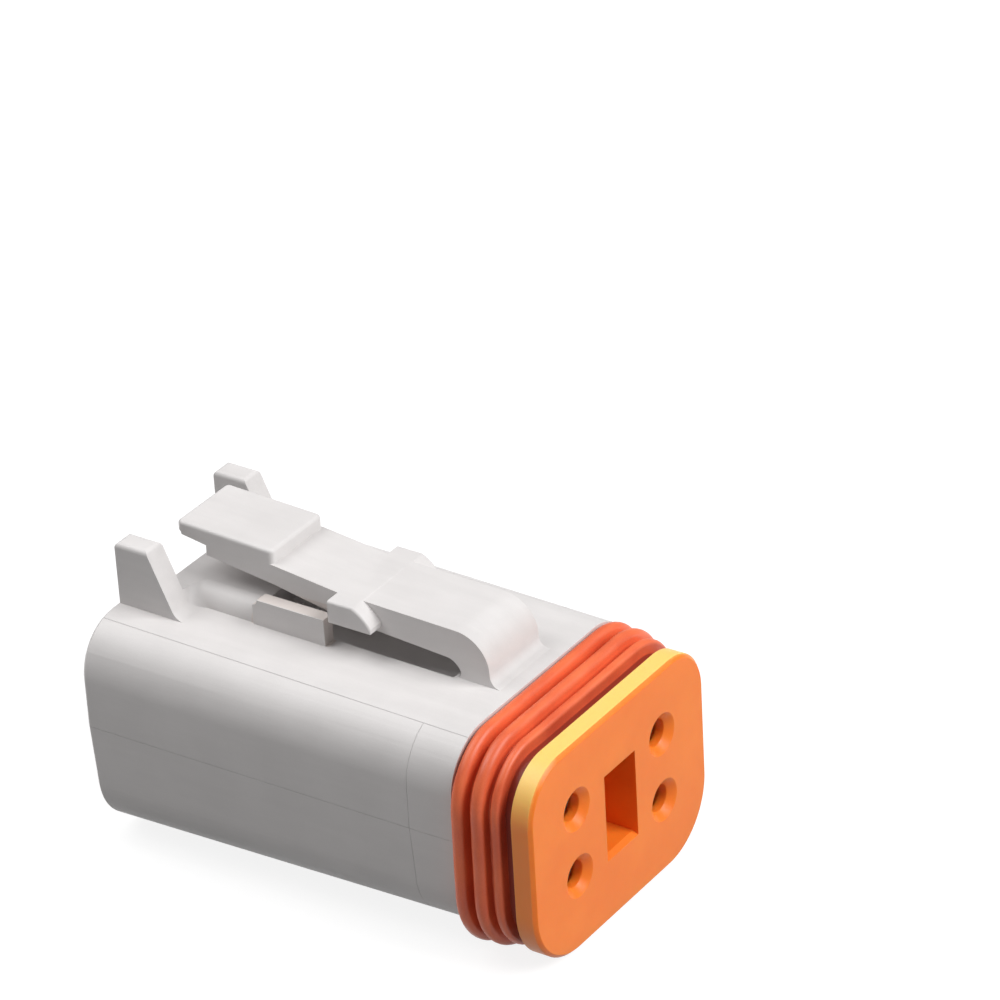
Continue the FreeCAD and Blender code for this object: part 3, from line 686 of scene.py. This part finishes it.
wireSeal = softCopy("rear_wire_seal", "wireSeal", [(everyEdge, *sealLook["wireRound"])])
wireSeal.data.materials.append(sealFinish("wireSealSilicone", sealLook["wireColour"]))
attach(wireSeal, "plug")
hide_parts("rear_wire_seal")
print("seals done:", len(interfaceSeal.data.polygons) + len(wireSeal.data.polygons), "faces")


# metal inside: plated sockets and their thin steel hoods
metalLook = {
    "plating": (0.62, 0.58, 0.50),
    "platingRoughness": 0.26,
    "steel": (0.56, 0.57, 0.58),
    "steelRoughness": 0.3,
    "roughSpread": (-0.06, 0.12),
    "drawnScale": 5.0,
    "dullShare": 0.72,
    "grain": 0.004,
}


def metalFinish(name, colour, roughness, along):
    look = {**metalLook, "roughness": roughness}
    made = Finish(name, Metallic=1.0, Roughness=roughness)
    spot = made.place()[0]
    drawn = made.noise(spot, look["drawnScale"], 3.0, 0.6, along)
    dull = tuple(look["dullShare"] * part for part in colour)
    made.drive("Base Color", made.mix(made.band(drawn, 0.3, 0.7), dull, colour))
    made.roughen(drawn, look)
    made.drive("Normal", made.bump(drawn * look["grain"]))
    return made.material


plating = metalFinish("nickelPlating", metalLook["plating"], metalLook["platingRoughness"], (1, 1, 1))
steel = metalFinish("hoodSteel", metalLook["steel"], metalLook["steelRoughness"], (0.08, 1, 1))
for name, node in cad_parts.items():
    if name.startswith(("socket_contact", "contact_hood")):
        node.data.materials.clear()
        node.data.materials.append(plating if name.startswith("socket") else steel)
print("contacts finished")


# pale floor, soft light and the photograph's camera
stageLook = {
    "floorBounce": (0.2, 0.2, 0.2),
    "floorShown": (0.86, 0.86, 0.86),
    "floorSize": 4.0,
    "floorRoughness": 0.8,
    "driftScale": 0.01,
    "driftShare": 0.97,
    "worldLight": 0.20,
    "worldShown": 1.0,
    "lampAim": (0, 0, 0.01),
    "lamps": [
        ("keyLamp", (0.72, 0.19, 0.67), 0.6, 9.9),
        ("fillLamp", (-0.33, -0.11, 0.52), 0.45, 2.5),
    ],
}
cameraView = {
    "azimuth": 35.33,
    "elevation": 29.446,
    "roll": -3.385,
    "target": (21.15, 0.0, 9.7),
    "distance": 386.25,
    "across": 9.371,
    "up": -23.538,
    "lens": 180,
    "sensor": 36,
    "nearest": 0.02,
}


def floorFinish():
    look = stageLook
    made = Finish("floorPaint", Roughness=look["floorRoughness"])
    spot = made.place()[0]
    drift = made.band(made.noise(spot, look["driftScale"], 2.0), 0.3, 0.7)
    darker = tuple(look["driftShare"] * part for part in look["floorBounce"])
    rays = ("Is Camera Ray", "Is Glossy Ray", "Is Transmission Ray")
    direct, glossy, through = (made.node("ShaderNodeLightPath", output=ray) for ray in rays)
    shown = direct.math("MAXIMUM", glossy).math("MAXIMUM", through)
    made.drive("Base Color", made.mix(drift, darker, look["floorBounce"]))
    made.drive("Emission Color", made.mix(shown, (0, 0, 0), look["floorShown"]))
    made.shader.inputs["Emission Strength"].default_value = 1.0
    return made.material


clearSelection()
bpy.ops.mesh.primitive_plane_add(size=stageLook["floorSize"], location=(0, 0, 0))
floor = bpy.context.active_object
floor.name = floor.data.name = "studioFloor"
floor.data.materials.append(floorFinish())

for name, place, size, power in stageLook["lamps"]:
    bpy.ops.object.light_add(type="AREA", location=place)
    lamp = bpy.context.active_object
    lamp.name = name
    lamp.data.size = size
    lamp.data.energy = power
    ray = Vector(stageLook["lampAim"]) - Vector(place)
    lamp.rotation_euler = ray.to_track_quat("-Z", "Y").to_euler()

world = bpy.data.worlds.new("studioWorld")
world.use_nodes = True
nodes, links = world.node_tree.nodes, world.node_tree.links
back = nodes["Background"]
back.inputs["Color"].default_value = (1, 1, 1, 1)
back.inputs["Strength"].default_value = stageLook["worldLight"]
bright = nodes.new("ShaderNodeBackground")
bright.inputs["Strength"].default_value = stageLook["worldShown"]
rays = nodes.new("ShaderNodeLightPath")
blend = nodes.new("ShaderNodeMixShader")
links.new(rays.outputs["Is Camera Ray"], blend.inputs[0])
links.new(back.outputs[0], blend.inputs[1])
links.new(bright.outputs[0], blend.inputs[2])
links.new(blend.outputs[0], nodes["World Output"].inputs["Surface"])
bpy.context.scene.world = world

turn, tilt, roll = (math.radians(cameraView[key]) for key in ("azimuth", "elevation", "roll"))
backward = Vector((math.sin(turn) * math.cos(tilt), -math.cos(turn) * math.cos(tilt), math.sin(tilt)))
level = Vector((math.cos(turn), math.sin(turn), 0))
lift = backward.cross(level)
rightward = level * math.cos(roll) + lift * math.sin(roll)
upward = lift * math.cos(roll) - level * math.sin(roll)
spotMm = (Vector(cameraView["target"]) + backward * cameraView["distance"]
          - rightward * cameraView["across"] - upward * cameraView["up"])
bpy.ops.object.camera_add()
camera = bpy.context.active_object
camera.name = "photoCamera"
camera.matrix_world = Matrix((
    (rightward.x, upward.x, backward.x, spotMm.x * mm),
    (rightward.y, upward.y, backward.y, spotMm.y * mm),
    (rightward.z, upward.z, backward.z, spotMm.z * mm),
    (0, 0, 0, 1)))
camera.data.lens = cameraView["lens"]
camera.data.sensor_width = cameraView["sensor"]
camera.data.clip_start = cameraView["nearest"]
bpy.context.scene.camera = camera
bpy.context.scene.view_settings.view_transform = "Standard"
print("stage and camera done")
